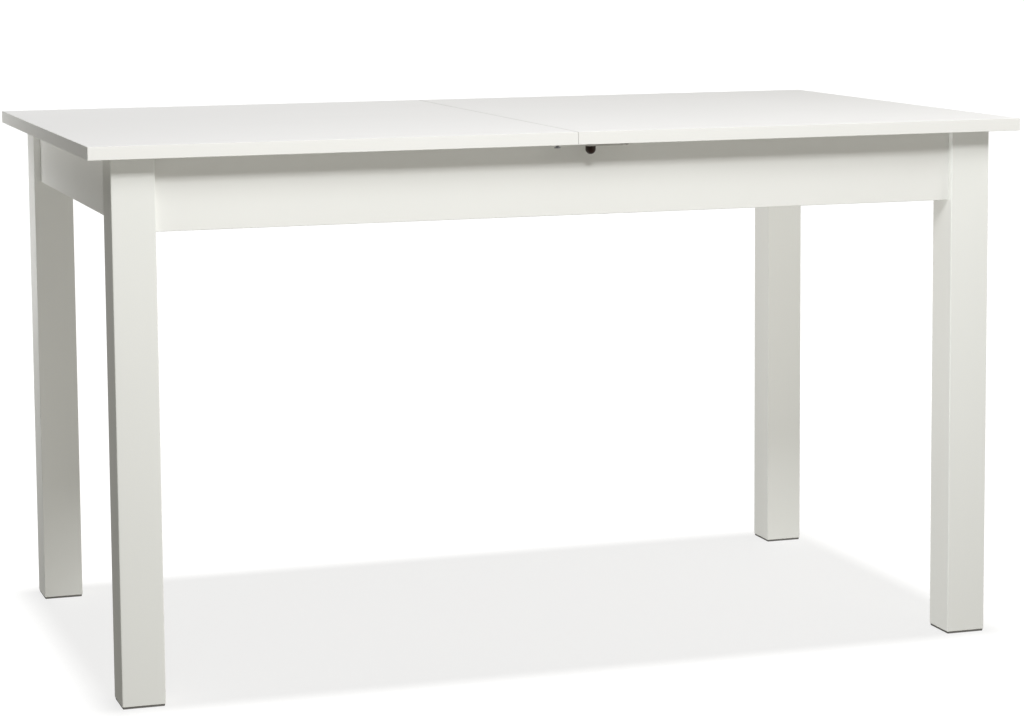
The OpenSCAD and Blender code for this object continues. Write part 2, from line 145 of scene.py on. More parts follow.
class Tree:
    """The nodes of a material or a world, added one at a time."""

    def __init__(self, owner):
        owner.use_nodes = True
        self.owner = owner
        self.nodes = owner.node_tree.nodes
        self.links = owner.node_tree.links

    def put(self, socket, value):
        if isinstance(value, Wire):
            self.links.new(value.socket, socket)
        else:
            socket.default_value = value

    def node(self, kind, settings=None, inputs=None, output=0):
        """Adds a node: settings first (a ramp's stops among them), then its sockets' values."""
        made = self.nodes.new(kind)
        for name, value in (settings or {}).items():
            if name == "stops":
                self.stops(made.color_ramp, value)
            else:
                setattr(made, name, value)
        for key, value in (inputs or {}).items():
            self.put(made.inputs[key], value)
        return Wire(self, made.outputs[output])

    def stops(self, ramp, stops):
        while len(ramp.elements) < len(stops):
            ramp.elements.new(1.0)
        for element, (place, colour) in zip(ramp.elements, stops):
            element.position = place
            element.color = (*colour, 1.0)

    def mix(self, factor, first, second):
        """Colour between two colours."""
        first, second = (colour if isinstance(colour, Wire) else (*colour, 1.0) for colour in (first, second))
        sockets = {0: factor, 6: first, 7: second}
        return self.node("ShaderNodeMix", {"data_type": "RGBA"}, sockets, 2)

    def axes(self, vector):
        """The x, y and z of a vector, as three outputs of one node."""
        split = self.node("ShaderNodeSeparateXYZ", {}, {0: vector}).socket.node
        return [Wire(self, output) for output in split.outputs]

    def spread(self, value, low, high):
        """Takes value from low..high to 0..1, with soft ends."""
        return self.node(
            "ShaderNodeMapRange",
            {"interpolation_type": "SMOOTHSTEP"},
            {"Value": value, "From Min": low, "From Max": high},
        )


class Finish(Tree):
    """A material with one Principled shader, whose patterns are laid out in metres on the piece."""

    def __init__(self, name, **constants):
        super().__init__(bpy.data.materials.new(name))
        self.shader = self.nodes["Principled BSDF"]
        for socket, value in constants.items():
            self.shader.inputs[socket.replace("_", " ")].default_value = value

    def place(self, stretch=(1, 1, 1)):
        """Object coordinates, stretched by a Mapping node."""
        coordinates = self.node("ShaderNodeTexCoord", output="Object")
        return self.node("ShaderNodeMapping", {}, {"Vector": coordinates, "Scale": stretch})

    def noise(self, place, per_metre, detail=2.0, roughness=0.5, distortion=0.0):
        """Noise with so many grains to the metre."""
        sockets = {
            "Vector": place,
            "Scale": per_metre,
            "Detail": detail,
            "Roughness": roughness,
            "Distortion": distortion,
        }
        return self.node("ShaderNodeTexNoise", {}, sockets)

    def colour(self, value):
        self.put(self.shader.inputs["Base Color"], value)

    def roughness(self, value):
        self.put(self.shader.inputs["Roughness"], value)

    def relief(self, height, depth):
        """Small relief: height 0..1 stands for depth metres."""
        sockets = {"Height": height, "Distance": depth, "Strength": 1.0}
        self.put(self.shader.inputs["Normal"], self.node("ShaderNodeBump", {}, sockets, "Normal"))


print("helpers ready:", Wire.__name__, Tree.__name__, Finish.__name__)

# %% [markdown]
# ### White melamine, edge banding and painted wood
# The boards are faced with white melamine: a hard paper skin with a very fine pearl texture that
# breaks up reflections. The banding round them is a plastic strip with faint lines along the
# board, and a touch glossier. Legs and aprons are painted, with the slight orange peel that spray
# leaves. All three are one pattern of noise at different scales, so each gets a short function.
# Where the halves of the top meet, a thin strip of the band is painted darker: partly the band's own greyer
# tone, partly painted shade standing for the dark gap between the halves. A mask made of x, y and z picks it
# out.

# %% White finishes
MELAMINE_WHITE = (0.888, 0.889, 0.896)
BAND_WHITE = (0.868, 0.870, 0.850)
PAINT_WHITE = (0.836, 0.845, 0.818)
APRON_WHITE = (0.880, 0.885, 0.860)
# Seam strip on the band: partly its own greyer tone, partly painted shade of the gap between the halves.
SEAM_STRIP = 0.0013
SEAM_STRIP_END = 1.3 * SEAM_STRIP
SEAM_TONE_AND_SHADE = 0.45
TOP_LEVEL = CAD_BOX[1][2]
HALF_DEPTH = CAD_BOX[1][1]
STRIP_RISES = TOP_LEVEL - 0.0008, TOP_LEVEL - 0.0004
STRIP_FADES = HALF_DEPTH - 0.003, HALF_DEPTH - 0.001


def shaded(colour, share):
    """The colour with all its parts lowered by a share."""
    return tuple(part * (1 - share) for part in colour)


def melamine_finish():
    finish = Finish("white_melamine", Specular_IOR_Level=0.5)
    place = finish.place()
    cloud = finish.noise(place, 3.0, detail=3.0)
    pearl = finish.noise(place, 1400.0, detail=2.0, roughness=0.6)
    finish.colour(finish.mix(finish.spread(cloud, 0.35, 0.65), MELAMINE_WHITE, shaded(MELAMINE_WHITE, 0.012)))
    finish.roughness(0.40 + 0.08 * cloud + 0.05 * pearl)
    finish.relief(pearl, 0.00003)
    return finish.owner


def band_finish():
    finish = Finish("white_edge_band", Specular_IOR_Level=0.5)
    lines = finish.noise(finish.place((0.02, 0.02, 1)), 1500.0, detail=2.0)
    cloud = finish.noise(finish.place(), 6.0)
    white = finish.mix(lines, BAND_WHITE, shaded(BAND_WHITE, 0.02))
    x, y, z = finish.axes(finish.place())
    # Painted shade: the band is darkened in a thin strip along the seam, partly its own tone, partly the
    # shadow in the gap.
    strip = 1 - finish.spread(x * x, SEAM_STRIP**2, SEAM_STRIP_END**2)
    strip = strip * finish.spread(z, *STRIP_RISES)
    strip = strip * (1 - finish.spread(y * y, *[end**2 for end in STRIP_FADES]))
    finish.colour(finish.mix(SEAM_TONE_AND_SHADE * strip, white, shaded(BAND_WHITE, 0.5)))
    finish.roughness(0.28 + 0.08 * lines + 0.04 * cloud)
    finish.relief(lines, 0.00002)
    return finish.owner


def paint_finish(name, white):
    finish = Finish(name, Specular_IOR_Level=0.5)
    place = finish.place()
    peel = finish.noise(place, 420.0, detail=2.0)
    cloud = finish.noise(place, 2.5, detail=3.0)
    finish.colour(finish.mix(finish.spread(cloud, 0.3, 0.7), white, shaded(white, 0.02)))
    finish.roughness(0.36 + 0.1 * cloud + 0.05 * peel)
    finish.relief(peel, 0.00006)
    return finish.owner


MELAMINE = melamine_finish()
BAND = band_finish()
PAINT = paint_finish("white_paint", PAINT_WHITE)
APRON_PAINT = paint_finish("apron_paint", APRON_WHITE)
print("white finishes:", MELAMINE.name, BAND.name, PAINT.name, APRON_PAINT.name)

# %% [markdown]
# ### Beech
# Runners, rails, bearers and dowels are plain beech: pinkish tan, with broad soft bands along
# the grain and short dark flecks. Noise that is squeezed along the grain draws both. The pieces
# lie along X or along Y, so the grain's direction is a choice of the function.

# %% Beech finishes
BEECH_LIGHT = (0.66, 0.455, 0.275)
BEECH_DARK = (0.50, 0.315, 0.175)
BEECH_FLECK = (0.27, 0.145, 0.07)
ALONG_GRAIN = 0.07


def beech_finish(name, along):
    finish = Finish(name, Specular_IOR_Level=0.35)
    squeeze = tuple(ALONG_GRAIN if axis == along else 1.0 for axis in range(3))
    place = finish.place(squeeze)
    bands = finish.noise(place, 90.0, detail=4.0, distortion=0.6)
    flecks = finish.spread(finish.noise(place, 900.0, detail=1.0), 0.62, 0.72)
    wood = finish.mix(finish.spread(bands, 0.3, 0.7), BEECH_LIGHT, BEECH_DARK)
    finish.colour(finish.mix(0.55 * flecks, wood, BEECH_FLECK))
    finish.roughness(0.48 + 0.14 * bands)
    finish.relief(bands - 0.5 * flecks, 0.00012)
    return finish.owner


BEECH_X = beech_finish("beech_along_x", 0)
BEECH_Y = beech_finish("beech_along_y", 1)
print("beech finishes:", BEECH_X.name, BEECH_Y.name)

# %% [markdown]
# ### Steel, plastics and felt
# Brackets, bolts and pins are zinc-plated: a pale metal with a cloudy, slightly blue bloom. The
# latch levers have a pale grey powder coat, so that they don't show under the white top. The knob
# is dark brown moulded plastic with a fine spark-eroded texture, the glides are grey plastic, the
# buttons natural nylon, and the strips on the bearers a matted grey felt.

# %% Steel, plastic and felt finishes
ZINC_BRIGHT = (0.66, 0.67, 0.69)
ZINC_DULL = (0.42, 0.44, 0.48)
POWDER_GREY = (0.62, 0.61, 0.585)
FELT_DARK = (0.13, 0.125, 0.12)
FELT_LIGHT = (0.27, 0.265, 0.255)
DARK_BROWN = (0.030, 0.014, 0.009)
WARM_GREY = (0.21, 0.205, 0.197)
MILK_WHITE = (0.80, 0.78, 0.73)


def zinc_finish():
    finish = Finish("zinc_plate", Metallic=1.0)
    place = finish.place()
    bloom = finish.noise(place, 55.0, detail=4.0, distortion=1.5)
    grit = finish.noise(place, 900.0)
    finish.colour(finish.mix(finish.spread(bloom, 0.35, 0.7), ZINC_BRIGHT, ZINC_DULL))
    finish.roughness(0.24 + 0.26 * bloom + 0.06 * grit)
    finish.relief(grit, 0.00002)
    return finish.owner


def moulded_finish(name, colour, roughness, grain_per_metre=1100.0):
    finish = Finish(name, Specular_IOR_Level=0.5)
    place = finish.place()
    grain = finish.noise(place, grain_per_metre, detail=2.0, roughness=0.65)
    cloud = finish.noise(place, 40.0)
    finish.colour(finish.mix(finish.spread(cloud, 0.35, 0.65), colour, shaded(colour, 0.12)))
    finish.roughness(roughness + 0.1 * grain)
    finish.relief(grain, 0.00004)
    return finish.owner


def powder_finish():
    finish = Finish("grey_powder_coat", Specular_IOR_Level=0.4)
    peel = finish.noise(finish.place(), 700.0, detail=2.0)
    cloud = finish.noise(finish.place(), 30.0, detail=2.0)
    finish.colour(finish.mix(finish.spread(cloud, 0.3, 0.7), POWDER_GREY, shaded(POWDER_GREY, 0.06)))
    finish.roughness(0.5 + 0.12 * peel)
    finish.relief(peel, 0.00005)
    return finish.owner


def felt_finish():
    finish = Finish("grey_felt", Sheen_Weight=0.6, Sheen_Roughness=0.5)
    place = finish.place()
    fibres = finish.noise(place, 1600.0, detail=5.0, roughness=0.75, distortion=2.5)
    tufts = finish.noise(place, 260.0, detail=3.0)
    finish.colour(finish.mix(finish.spread(fibres, 0.35, 0.65), FELT_DARK, FELT_LIGHT))
    finish.roughness(0.85 + 0.1 * tufts)
    finish.relief(fibres + 0.6 * tufts, 0.0003)
    return finish.owner


ZINC = zinc_finish()
KNOB_BROWN = moulded_finish("brown_plastic", DARK_BROWN, 0.26)
GLIDE_GREY = moulded_finish("glide_plastic", WARM_GREY, 0.5)
NYLON = moulded_finish("natural_nylon", MILK_WHITE, 0.35)
FELT = felt_finish()
POWDER = powder_finish()
print("metal:", ZINC.name, POWDER.name, "plastic:", KNOB_BROWN.name, GLIDE_GREY.name, NYLON.name)

# %% [markdown]
# ### The boards
# The three boards are flat and sharp under their banding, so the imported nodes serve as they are
# and only get the melamine. Every other node gets a piece of its own further down.

# %% Dress the boards
def dress(material, name):
    """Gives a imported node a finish, in every slot that it has."""
    materials = NODES[name].data.materials
    if not materials:
        materials.append(material)
    for slot in range(len(materials)):
        materials[slot] = material


for name in ("board_left", "board_right", "leaf_board"):
    dress(MELAMINE, name)
print("boards dressed")

# %% [markdown]
# ## Reading the construction
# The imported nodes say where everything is. Some nodes hold several separate solids, such as all
# the screws of one kind, so a helper splits a node's points into its solids. Another one finds
# the axis of a screw or pin: the direction in which its points spread most, pointing to the head.

# %% Solids and axes
HEAD_SHARE = 0.95
SHANK_SHARE = 0.7


def packed_mesh(name):
    """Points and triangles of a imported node, with points that coincide made one."""
    mesh = NODES[name].data
    points = np.empty(len(mesh.vertices) * 3)
    corners = np.empty(len(mesh.loops), int)
    mesh.vertices.foreach_get("co", points)
    mesh.loops.foreach_get("vertex_index", corners)
    points, index = np.unique(np.round(points.reshape(-1, 3), 6), axis=0, return_inverse=True)
    return points, index.ravel()[corners].reshape(-1, 3)


def solids(name):
    """Points of each separate solid: labels spread over the triangles until they are steady."""
    points, triangles = packed_mesh(name)
    label = np.arange(len(points))
    steady = False
    while not steady:
        spread = label.copy()
        least = label[triangles].min(axis=1)
        for corner in range(3):
            np.minimum.at(spread, triangles[:, corner], least)
        steady = bool((spread == label).all())
        label = spread
    return [points[label == value] for value in np.unique(label)]


def corners_of(points):
    return points.min(axis=0), points.max(axis=0)


def pin_axis(points):
    """Unit vector along a pin, towards its wider end, and the middle of its box."""
    low, high = corners_of(points)
    middle = (low + high) / 2
    axis = np.linalg.svd(points - points.mean(axis=0), full_matrices=False)[2][0]
    along = (points - middle) @ axis
    away = np.linalg.norm(points - middle - np.outer(along, axis), axis=1)
    wide = away > HEAD_SHARE * away.max()
    if along[wide].mean() < 0:
        axis = -axis
    return axis, middle


print("bracket screws:", len(solids("bracket_screws")), "rail screws:", len(solids("rail_screws")))

# %% [markdown]
# ## Surfaces as grids
# Every new piece is a grid of points, rows by columns, worked out with numpy as whole arrays and
# skinned with four-sided faces. Three families are enough here: a rounded outline stacked in
# rings (boards and legs), a profile turned about an axis (knobs, washers, pins), and a profile
# carried round the edge of a board (the banding).

# %% From grids to objects
SAME_POINT = 2e-6
NO_LENGTH = 1e-6


def skin(grid, join_rows=False, join_columns=True, ends=False):
    """Faces between neighbouring points of a grid. Rows or columns may close on themselves, and
    ends puts one face across the first and the last row."""
    rows, columns = grid.shape[:2]
    index = np.arange(rows * columns).reshape(rows, columns)
    first, last = index[0, ::-1].tolist(), index[-1].tolist()
    if join_columns:
        index = np.concatenate([index, index[:, :1]], axis=1)
    if join_rows:
        index = np.concatenate([index, index[:1]], axis=0)
    faces = np.stack([index[:-1, :-1], index[:-1, 1:], index[1:, 1:], index[1:, :-1]], axis=-1)
    faces = faces.reshape(-1, 4).tolist()
    return grid.reshape(-1, 3), faces + [first, last] if ends else faces


def placed(part, origin, axis=(0, 0, 1)):
    """The part with its z axis turned to axis and its zero at origin."""
    points, faces = part
    turn = np.array(Vector((0, 0, 1)).rotation_difference(Vector(axis)).to_matrix())
    return points @ turn.T + np.asarray(origin), faces


def make(name, parts, finish, crease=35):
    """One object from several parts. Doubles are merged and edges sharper than crease stay sharp."""
    starts = np.cumsum([0] + [len(points) for points, _ in parts]).tolist()
    faces = []
    for start, (_, some) in zip(starts, parts):
        faces += [[corner + start for corner in face] for face in some]
    mesh = bpy.data.meshes.new(name)
    mesh.from_pydata(np.concatenate([points for points, _ in parts]).tolist(), [], faces)
    tidy = bmesh.new()
    tidy.from_mesh(mesh)
    bmesh.ops.remove_doubles(tidy, verts=tidy.verts, dist=SAME_POINT)
    bmesh.ops.dissolve_degenerate(tidy, edges=tidy.edges, dist=NO_LENGTH)
    tidy.to_mesh(mesh)
    tidy.free()
    mesh.shade_smooth()
    mesh.set_sharp_from_angle(angle=math.radians(crease))
    mesh.materials.append(finish)
    piece = bpy.data.objects.new(name, mesh)
    bpy.context.scene.collection.objects.link(piece)
    return piece


def level_flats(piece):
    """Weighted normals: flat faces stay flat beside a rounded edge."""
    flats = piece.modifiers.new("level flats", "WEIGHTED_NORMAL")
    flats.keep_sharp = True
    return piece


def stand_in(piece, *names):
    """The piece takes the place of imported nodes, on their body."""
    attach(piece, BODY_OF[names[0]])
    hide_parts(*names)
    return piece


# %% [markdown]
# ### Rounded blocks
# A sawn board is never quite sharp: its edges are sanded or wrapped round. The outline of a block
# is a rectangle whose corners are quarter circles, and near its two ends the outline draws in
# along another quarter circle. Legs, aprons, bearers, cleats and felt strips all come from this.

# %% Blocks
def outline(low, high, radius, steps=4, spare=0.0):
    """A rounded rectangle, anticlockwise: a point is a corner's centre plus radius times a
    direction, which turns through a right angle at each corner. Spare adds a point at that
    distance on either side of each arc, for what has to end there."""
    arc = np.linspace(0, np.pi / 2, steps + 1)
    shift = np.zeros(steps + 1)
    if spare:
        arc = np.concatenate([[0], arc, [np.pi / 2]])
        shift = np.concatenate([[-spare], shift, [spare]])
    turn = (np.arange(4)[:, None] * np.pi / 2 + arc).ravel()
    outward = np.stack([np.cos(turn), np.sin(turn)], axis=1)
    forward = np.stack([-outward[:, 1], outward[:, 0]], axis=1)
    corner = np.array([(high[0], high[1]), (low[0], high[1]), (low[0], low[1]), (high[0], low[1])])
    inward = np.array([(-1, -1), (1, -1), (1, 1), (-1, 1)])
    centre = (corner + radius * inward).repeat(len(arc), axis=0)
    return centre + np.tile(shift, 4)[:, None] * forward, outward


def edge_rounding(low_z, high_z, edge, steps=4):
    """Insets and levels of the rings: a quarter circle at each end of the block."""
    arc = np.linspace(0, np.pi / 2, steps)
    inset = edge * np.concatenate([1 - np.sin(arc), 1 - np.cos(arc)])
    level = np.concatenate([low_z + edge * (1 - np.cos(arc)), high_z - edge * (1 - np.sin(arc))])
    return inset, level


def rings(centre, outward, radius, inset, level):
    """Outlines stacked in z: each is drawn in by its inset and lies at its level."""
    flat = centre + (radius - inset)[:, None, None] * outward
    return np.concatenate([flat, np.broadcast_to(level[:, None, None], flat.shape[:2] + (1,))], axis=2)


def block(low, high, edge, corner=None):
    corner = max(corner or edge, edge)
    centre, outward = outline(low, high, corner)
    inset, level = edge_rounding(low[2], high[2], edge)
    return skin(rings(centre, outward, corner, inset, level), ends=True)


def block_piece(name, finish, edge, corner=None):
    """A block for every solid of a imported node, in one object."""
    parts = [block(*corners_of(points), edge, corner) for points in solids(name)]
    piece = level_flats(make("made_" + name, parts, finish))
    return stand_in(piece, name)


print("blocks ready")

# %% [markdown]
# ### Legs
# Each leg is a square post, 60 mm thick. Its long edges are lightly rounded, as wrapped or painted
# posts are. High up on the inner corner a flat is cut, where the corner bracket's bolt goes in.
# The flat is made by pushing back every point that lies beyond its plane.

# %% Make the legs
LEG_EDGE = 0.0015
FLAT_DEEP = 0.007
FLAT_MORE = 0.004
FLAT_SPREAD = FLAT_DEEP * math.sqrt(2)


def leg_part(name, bracket):
    low, high = (np.array(corner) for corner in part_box(name))
    bracket_low, bracket_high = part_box(bracket)
    centre, outward = outline(low, high, LEG_EDGE, spare=FLAT_SPREAD - LEG_EDGE)
    inset, level = edge_rounding(low[2], high[2], LEG_EDGE / 2)
    flat_from, flat_to = bracket_low.z - FLAT_MORE, bracket_high.z + FLAT_MORE
    more = np.array([flat_from, flat_from, flat_to, flat_to])
    at = len(level) // 2
    level = np.insert(level, at, more)
    inset = np.insert(inset, at, np.zeros(4))
    grid = rings(centre, outward, LEG_EDGE, inset, level)
    middle = (low[:2] + high[:2]) / 2
    inner = np.where(middle > 0, low[:2], high[:2])
    facing = (inner - middle) / np.linalg.norm(inner - middle)
    cut = slice(at + 1, at + 3)
    beyond = np.clip((grid[cut, :, :2] - inner) @ facing + FLAT_DEEP, 0, None)
    grid[cut, :, :2] -= beyond[..., None] * facing
    return skin(grid, ends=True)


for corner in ("fl", "fr", "rl", "rr"):
    leg = make("made_leg_" + corner, [leg_part("leg_" + corner, "bracket_" + corner)], PAINT)
    stand_in(level_flats(leg), "leg_" + corner)
print("legs made, flats", round(FLAT_SPREAD * 2000, 1), "mm wide")

# %% [markdown]
# ### Aprons, bearers, cleats and felt
# The aprons are painted boards on edge between the legs. The bearers, stops and cleats are plain
# beech, planed and slightly eased, and felt strips lie on the bearers. All are rounded blocks.

# %% Make the blocks
THIN_EASE = 0.0008
BEARER_EASE = 0.0012
FELT_CORNER = 0.003

for side in ("front", "rear", "left", "right"):
    block_piece("apron_" + side, APRON_PAINT, THIN_EASE)
for name in ("bearer_left", "bearer_right"):
    block_piece(name, BEECH_Y, BEARER_EASE)
for name in ("leaf_cleats", "rail_stops_front", "rail_stops_rear"):
    block_piece(name, BEECH_X, THIN_EASE)
for name in ("felt_left", "felt_right"):
    block_piece(name, FELT, THIN_EASE, FELT_CORNER)
print("blocks made")

# %% [markdown]
# ### Edge banding
# The melamine boards are chipboard inside, so a 1 mm plastic band is glued round their edges and
# its two outer arrises are rounded over. Its profile, a thin strip with two rounded corners, is
# carried round the board. At the seam the band is drilled for the dowels.

# %% Make the banding
BAND_THICK = 0.001
BAND_EDGE = 0.0005
BAND_CORNER = 0.0005
DOWEL_HOLE = 0.0040
SOCKET_HOLE = 0.0043
HOLE_DEEP = 0.004


def band_part(name):
    """Rows follow the profile: round the outer arrises, then back down the glued face."""
    low, high = (np.array(corner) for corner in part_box(name))
    centre, outward = outline(low, high, BAND_CORNER, 3)
    outer = rings(centre, outward, BAND_CORNER, *edge_rounding(low[2], high[2], BAND_EDGE))
    centre, outward = outline(low + BAND_THICK, high - BAND_THICK, 0.0, 3)
    glued = rings(centre, outward, 0.0, np.zeros(2), np.array([high[2], low[2]]))
    return skin(np.concatenate([outer, glued]), join_rows=True)


def revolved(profile, sides=32, join=False):
    """A profile of (radius, height) pairs turned about the z axis: radius times the cosine and
    the sine of the angle, at that height. Outer side upwards, so that faces point outwards."""
    radius, height = np.array(profile).T
    turn = np.arange(sides) * 2 * np.pi / sides
    flat = radius[:, None, None] * np.stack([np.cos(turn), np.sin(turn)], axis=1)
    levels = np.broadcast_to(height[:, None, None], flat.shape[:2] + (1,))
    return skin(np.concatenate([flat, levels], axis=2), join_rows=join)


def drilled(piece, places, radius, axis):
    """Takes round holes out of a piece at places, along an axis."""
    hole = revolved([(0, -HOLE_DEEP), (radius, -HOLE_DEEP), (radius, HOLE_DEEP), (0, HOLE_DEEP)])
    drill = make("drill", [placed(hole, place, axis) for place in places], piece.data.materials[0])
    change = piece.modifiers.new("holes", "BOOLEAN")
    change.object = drill
    change.solver = "EXACT"
    graph = bpy.context.evaluated_depsgraph_get()
    mesh = bpy.data.meshes.new_from_object(piece.evaluated_get(graph))
    piece.modifiers.clear()
    piece.data = mesh
    bpy.data.objects.remove(drill)
    return piece


def dowel_places(name):
    """Middle of each dowel in a node."""
    return [sum(corners_of(points)) / 2 for points in solids(name)]


seam = dowel_places("seam_dowels")
leaf_near = dowel_places("leaf_dowels")
leaf_across = sum(corner.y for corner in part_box("leaf_board"))
leaf_far = [place * (1, -1, 1) + (0, leaf_across, 0) for place in leaf_near]
bands = {}
for name in ("band_left", "band_right", "leaf_band"):
    bands[name] = make("made_" + name, [band_part(name)], BAND)
drilled(bands["band_left"], seam, SOCKET_HOLE, (1, 0, 0))
drilled(bands["band_right"], seam, DOWEL_HOLE, (1, 0, 0))
drilled(bands["leaf_band"], leaf_near, DOWEL_HOLE, (0, 1, 0))
drilled(bands["leaf_band"], leaf_far, SOCKET_HOLE, (0, 1, 0))
for name, band in bands.items():
    stand_in(level_flats(band), name)
print("bands:", {name: len(band.data.polygons) for name, band in bands.items()})

# %% [markdown]
# ### Dowels
# Beech dowels are fluted, so that glue and air can get out, and their ends are chamfered. The
# radius is a wave of the angle: twelve shallow grooves round a plain rod.

# %% Make the dowels
FLUTES = 12
FLUTE_DEEP = 0.0003
DOWEL_CHAMFER = 0.0010
CHAMFER_IN = 0.7 * DOWEL_CHAMFER


def dowel_part(points):
    """Radius times (1 - groove), where the groove is the upper half of a cosine, squared."""
    low, high = corners_of(points)
    sizes = high - low
    axis = np.eye(3)[sizes.argmax()]
    radius, half = sizes.min() / 2, sizes.max() / 2
    turn = np.arange(FLUTES * 6) * 2 * np.pi / (FLUTES * 6)
    groove = FLUTE_DEEP * np.clip(np.cos(FLUTES * turn), 0, 1) ** 2
    height = np.array([-half, DOWEL_CHAMFER - half, half - DOWEL_CHAMFER, half])
    chamfer = np.array([CHAMFER_IN, 0, 0, CHAMFER_IN])
    reach = radius - groove - chamfer[:, None]
    grid = np.stack([reach * np.cos(turn), reach * np.sin(turn), height[:, None] + 0 * reach], axis=2)
    return placed(skin(grid, ends=True), (low + high) / 2, axis)


for name in ("seam_dowels", "leaf_dowels", "apron_dowels"):
    stand_in(make("made_" + name, [dowel_part(points) for points in solids(name)], BEECH_X), name)
print("dowels made")

# %% [markdown]
# ### Screws
# The wood screws have a low domed head with a cross recess, and a thread that narrows to a point.
# The head is a square grid pressed into a disc, which puts grid lines where the recess needs
# them. The thread's radius is a zigzag that climbs as it goes round.

# %% Screw parts
SLOT_WIDE = 0.15
SLOT_LONG = 0.60
SLOT_SLOPE = 0.07
SLOT_DEEP = 0.62
HEAD_RIM = 0.25
TIP_SHARE = 0.1
HEAD_LINES = np.array([0.09, 0.15, 0.3, 0.53, 0.60, 0.78, 0.92, 1.0])
HEAD_GRID = np.concatenate([-HEAD_LINES[::-1], HEAD_LINES])


def head_part(radius, height):
    """A square (u, v) pressed into a disc: x is u times the root of 1 - v²/2, and y likewise. The
    height is a low rim plus the root of 1 - distance to the fourth, less a cross-shaped recess."""
    u, v = np.meshgrid(HEAD_GRID, HEAD_GRID)
    x, y = u * np.sqrt(1 - v**2 / 2), v * np.sqrt(1 - u**2 / 2)
    dome = np.sqrt(np.clip(1 - (x**2 + y**2) ** 2, 0, 1)) * (1 - HEAD_RIM)
    dome = dome + HEAD_RIM * (x**2 + y**2 < 0.99)
    wide = np.clip((SLOT_WIDE + SLOT_SLOPE - np.abs([u, v])) / SLOT_SLOPE, 0, 1)
    long = np.clip((SLOT_LONG + SLOT_SLOPE - np.abs([v, u])) / SLOT_SLOPE, 0, 1)
    recess = np.minimum(wide, long).max(axis=0)
    top = np.stack([x * radius, y * radius, height * (dome - SLOT_DEEP * recess)], axis=2)
    rim = np.concatenate([top[0, :-1], top[:-1, -1], top[-1, :0:-1], top[:0:-1, 0]])
    skirt = np.stack([rim * (1, 1, 0), rim])
    points, faces = skin(top, join_columns=False)
    under, around = skin(skirt)
    start = len(points)
    faces += [[corner + start for corner in face] for face in around]
    faces.append([start + corner for corner in range(len(rim) - 1, -1, -1)])
    return np.concatenate([points, under]), faces


def threaded(stretches, sides=16, point=0.0, rows_per_turn=6):
    """A rod in stretches of (low, high, radius, depth, pitch). The radius is lessened by depth
    times a zigzag of height / pitch - angle / full turn. Point is the length of the sharp tip."""
    height = [np.linspace(a, b, max(2, int((b - a) / p * rows_per_turn))) for a, b, _, _, p in stretches]
    counts = [len(h) for h in height]
    radius, depth, pitch = (np.repeat([s[k] for s in stretches], counts)[:, None] for k in (2, 3, 4))
    height = np.concatenate(height)[:, None]
    turn = np.arange(sides) * 2 * np.pi / sides
    climb = height / pitch - turn / (2 * np.pi)
    zigzag = np.abs(2 * (climb % 1) - 1)
    reach = radius - depth * zigzag
    if point:
        reach = reach * np.clip(TIP_SHARE + (height - height[0]) / point, 0, 1)
    grid = np.stack([reach * np.cos(turn), reach * np.sin(turn), height + 0 * reach], axis=2)
    return skin(grid, ends=True)


THREAD_PITCH = 0.0018
THREAD_DEEP = 0.0006
SCREW_POINT = 0.004
INTO_HEAD = 0.0002


def screw_parts(points):
    """Head and shank for one packed screw, whose head is its widest stretch."""
    axis, middle = pin_axis(points)
    along = (points - middle) @ axis
    away = np.linalg.norm(points - middle - np.outer(along, axis), axis=1)
    head = along[away > HEAD_SHARE * away.max()]
    seat = head.min()
    radius = away[away < SHANK_SHARE * away.max()].max()
    rod = threaded([(along.min(), seat + INTO_HEAD, radius, THREAD_DEEP, THREAD_PITCH)], 12, SCREW_POINT, 5)
    origin = middle + seat * axis
    lifted = (rod[0] - (0, 0, seat), rod[1])
    return [placed(head_part(away.max(), along.max() - seat), origin, axis), placed(lifted, origin, axis)]


SCREW_NODES = ("bracket_screws", "rail_screws", "runner_screws_left", "runner_screws_right", "bearer_screws")
for name in SCREW_NODES:
    parts = [part for points in solids(name) for part in screw_parts(points)]
    screws = stand_in(make("made_" + name, parts, ZINC), name)
    print(name, len(parts) // 2, "screws,", len(screws.data.polygons), "faces")

# %% [markdown]
# ### Hanger bolts, nuts and washers
# A hanger bolt has a coarse wood thread in the leg, a plain middle, and a fine machine thread for
# the nut. The nut is a hexagon: its radius in a direction is half its width over the cosine of
# the angle from the nearest flat, and the corners are cut back by a cone at both ends.

# %% Make bolts and nuts
BOLT_RADIUS = 0.004
WOOD_PITCH, WOOD_DEEP = 0.003, 0.0011
BOLT_PITCH, BOLT_DEEP = 0.00125, 0.0007
PLAIN_BEFORE, PLAIN_AFTER, PLAIN_STEP = 0.012, 0.008, 0.004
WASHER_THICK = 0.0016
WASHER_BORE, WASHER_EASE = 0.0042, 0.0003
NUT_BORE = 0.0038
NUT_FACE = 0.96
NUT_END = 0.001
NUT_CHAMFER_SLOPE = math.tan(math.radians(30))


def bolt_part(points, inner):
    """The axis points from the leg to the middle of the table. Zero is at the leg's inner corner,
    and the plain stretch lies round it."""
    axis, middle = pin_axis(points)
    if axis @ middle > 0:
        axis = -axis
    along = (points - middle) @ axis
    zero = float((np.append(inner, middle[2]) - middle) @ axis)
    plain = zero - PLAIN_BEFORE, zero + PLAIN_AFTER
    stretches = [
        (along.min(), plain[0], BOLT_RADIUS, WOOD_DEEP, WOOD_PITCH),
        (*plain, BOLT_RADIUS, 0.0, PLAIN_STEP),
        (plain[1], along.max(), BOLT_RADIUS, BOLT_DEEP, BOLT_PITCH),
    ]
    return placed(threaded(stretches, 24), middle, axis), axis, middle


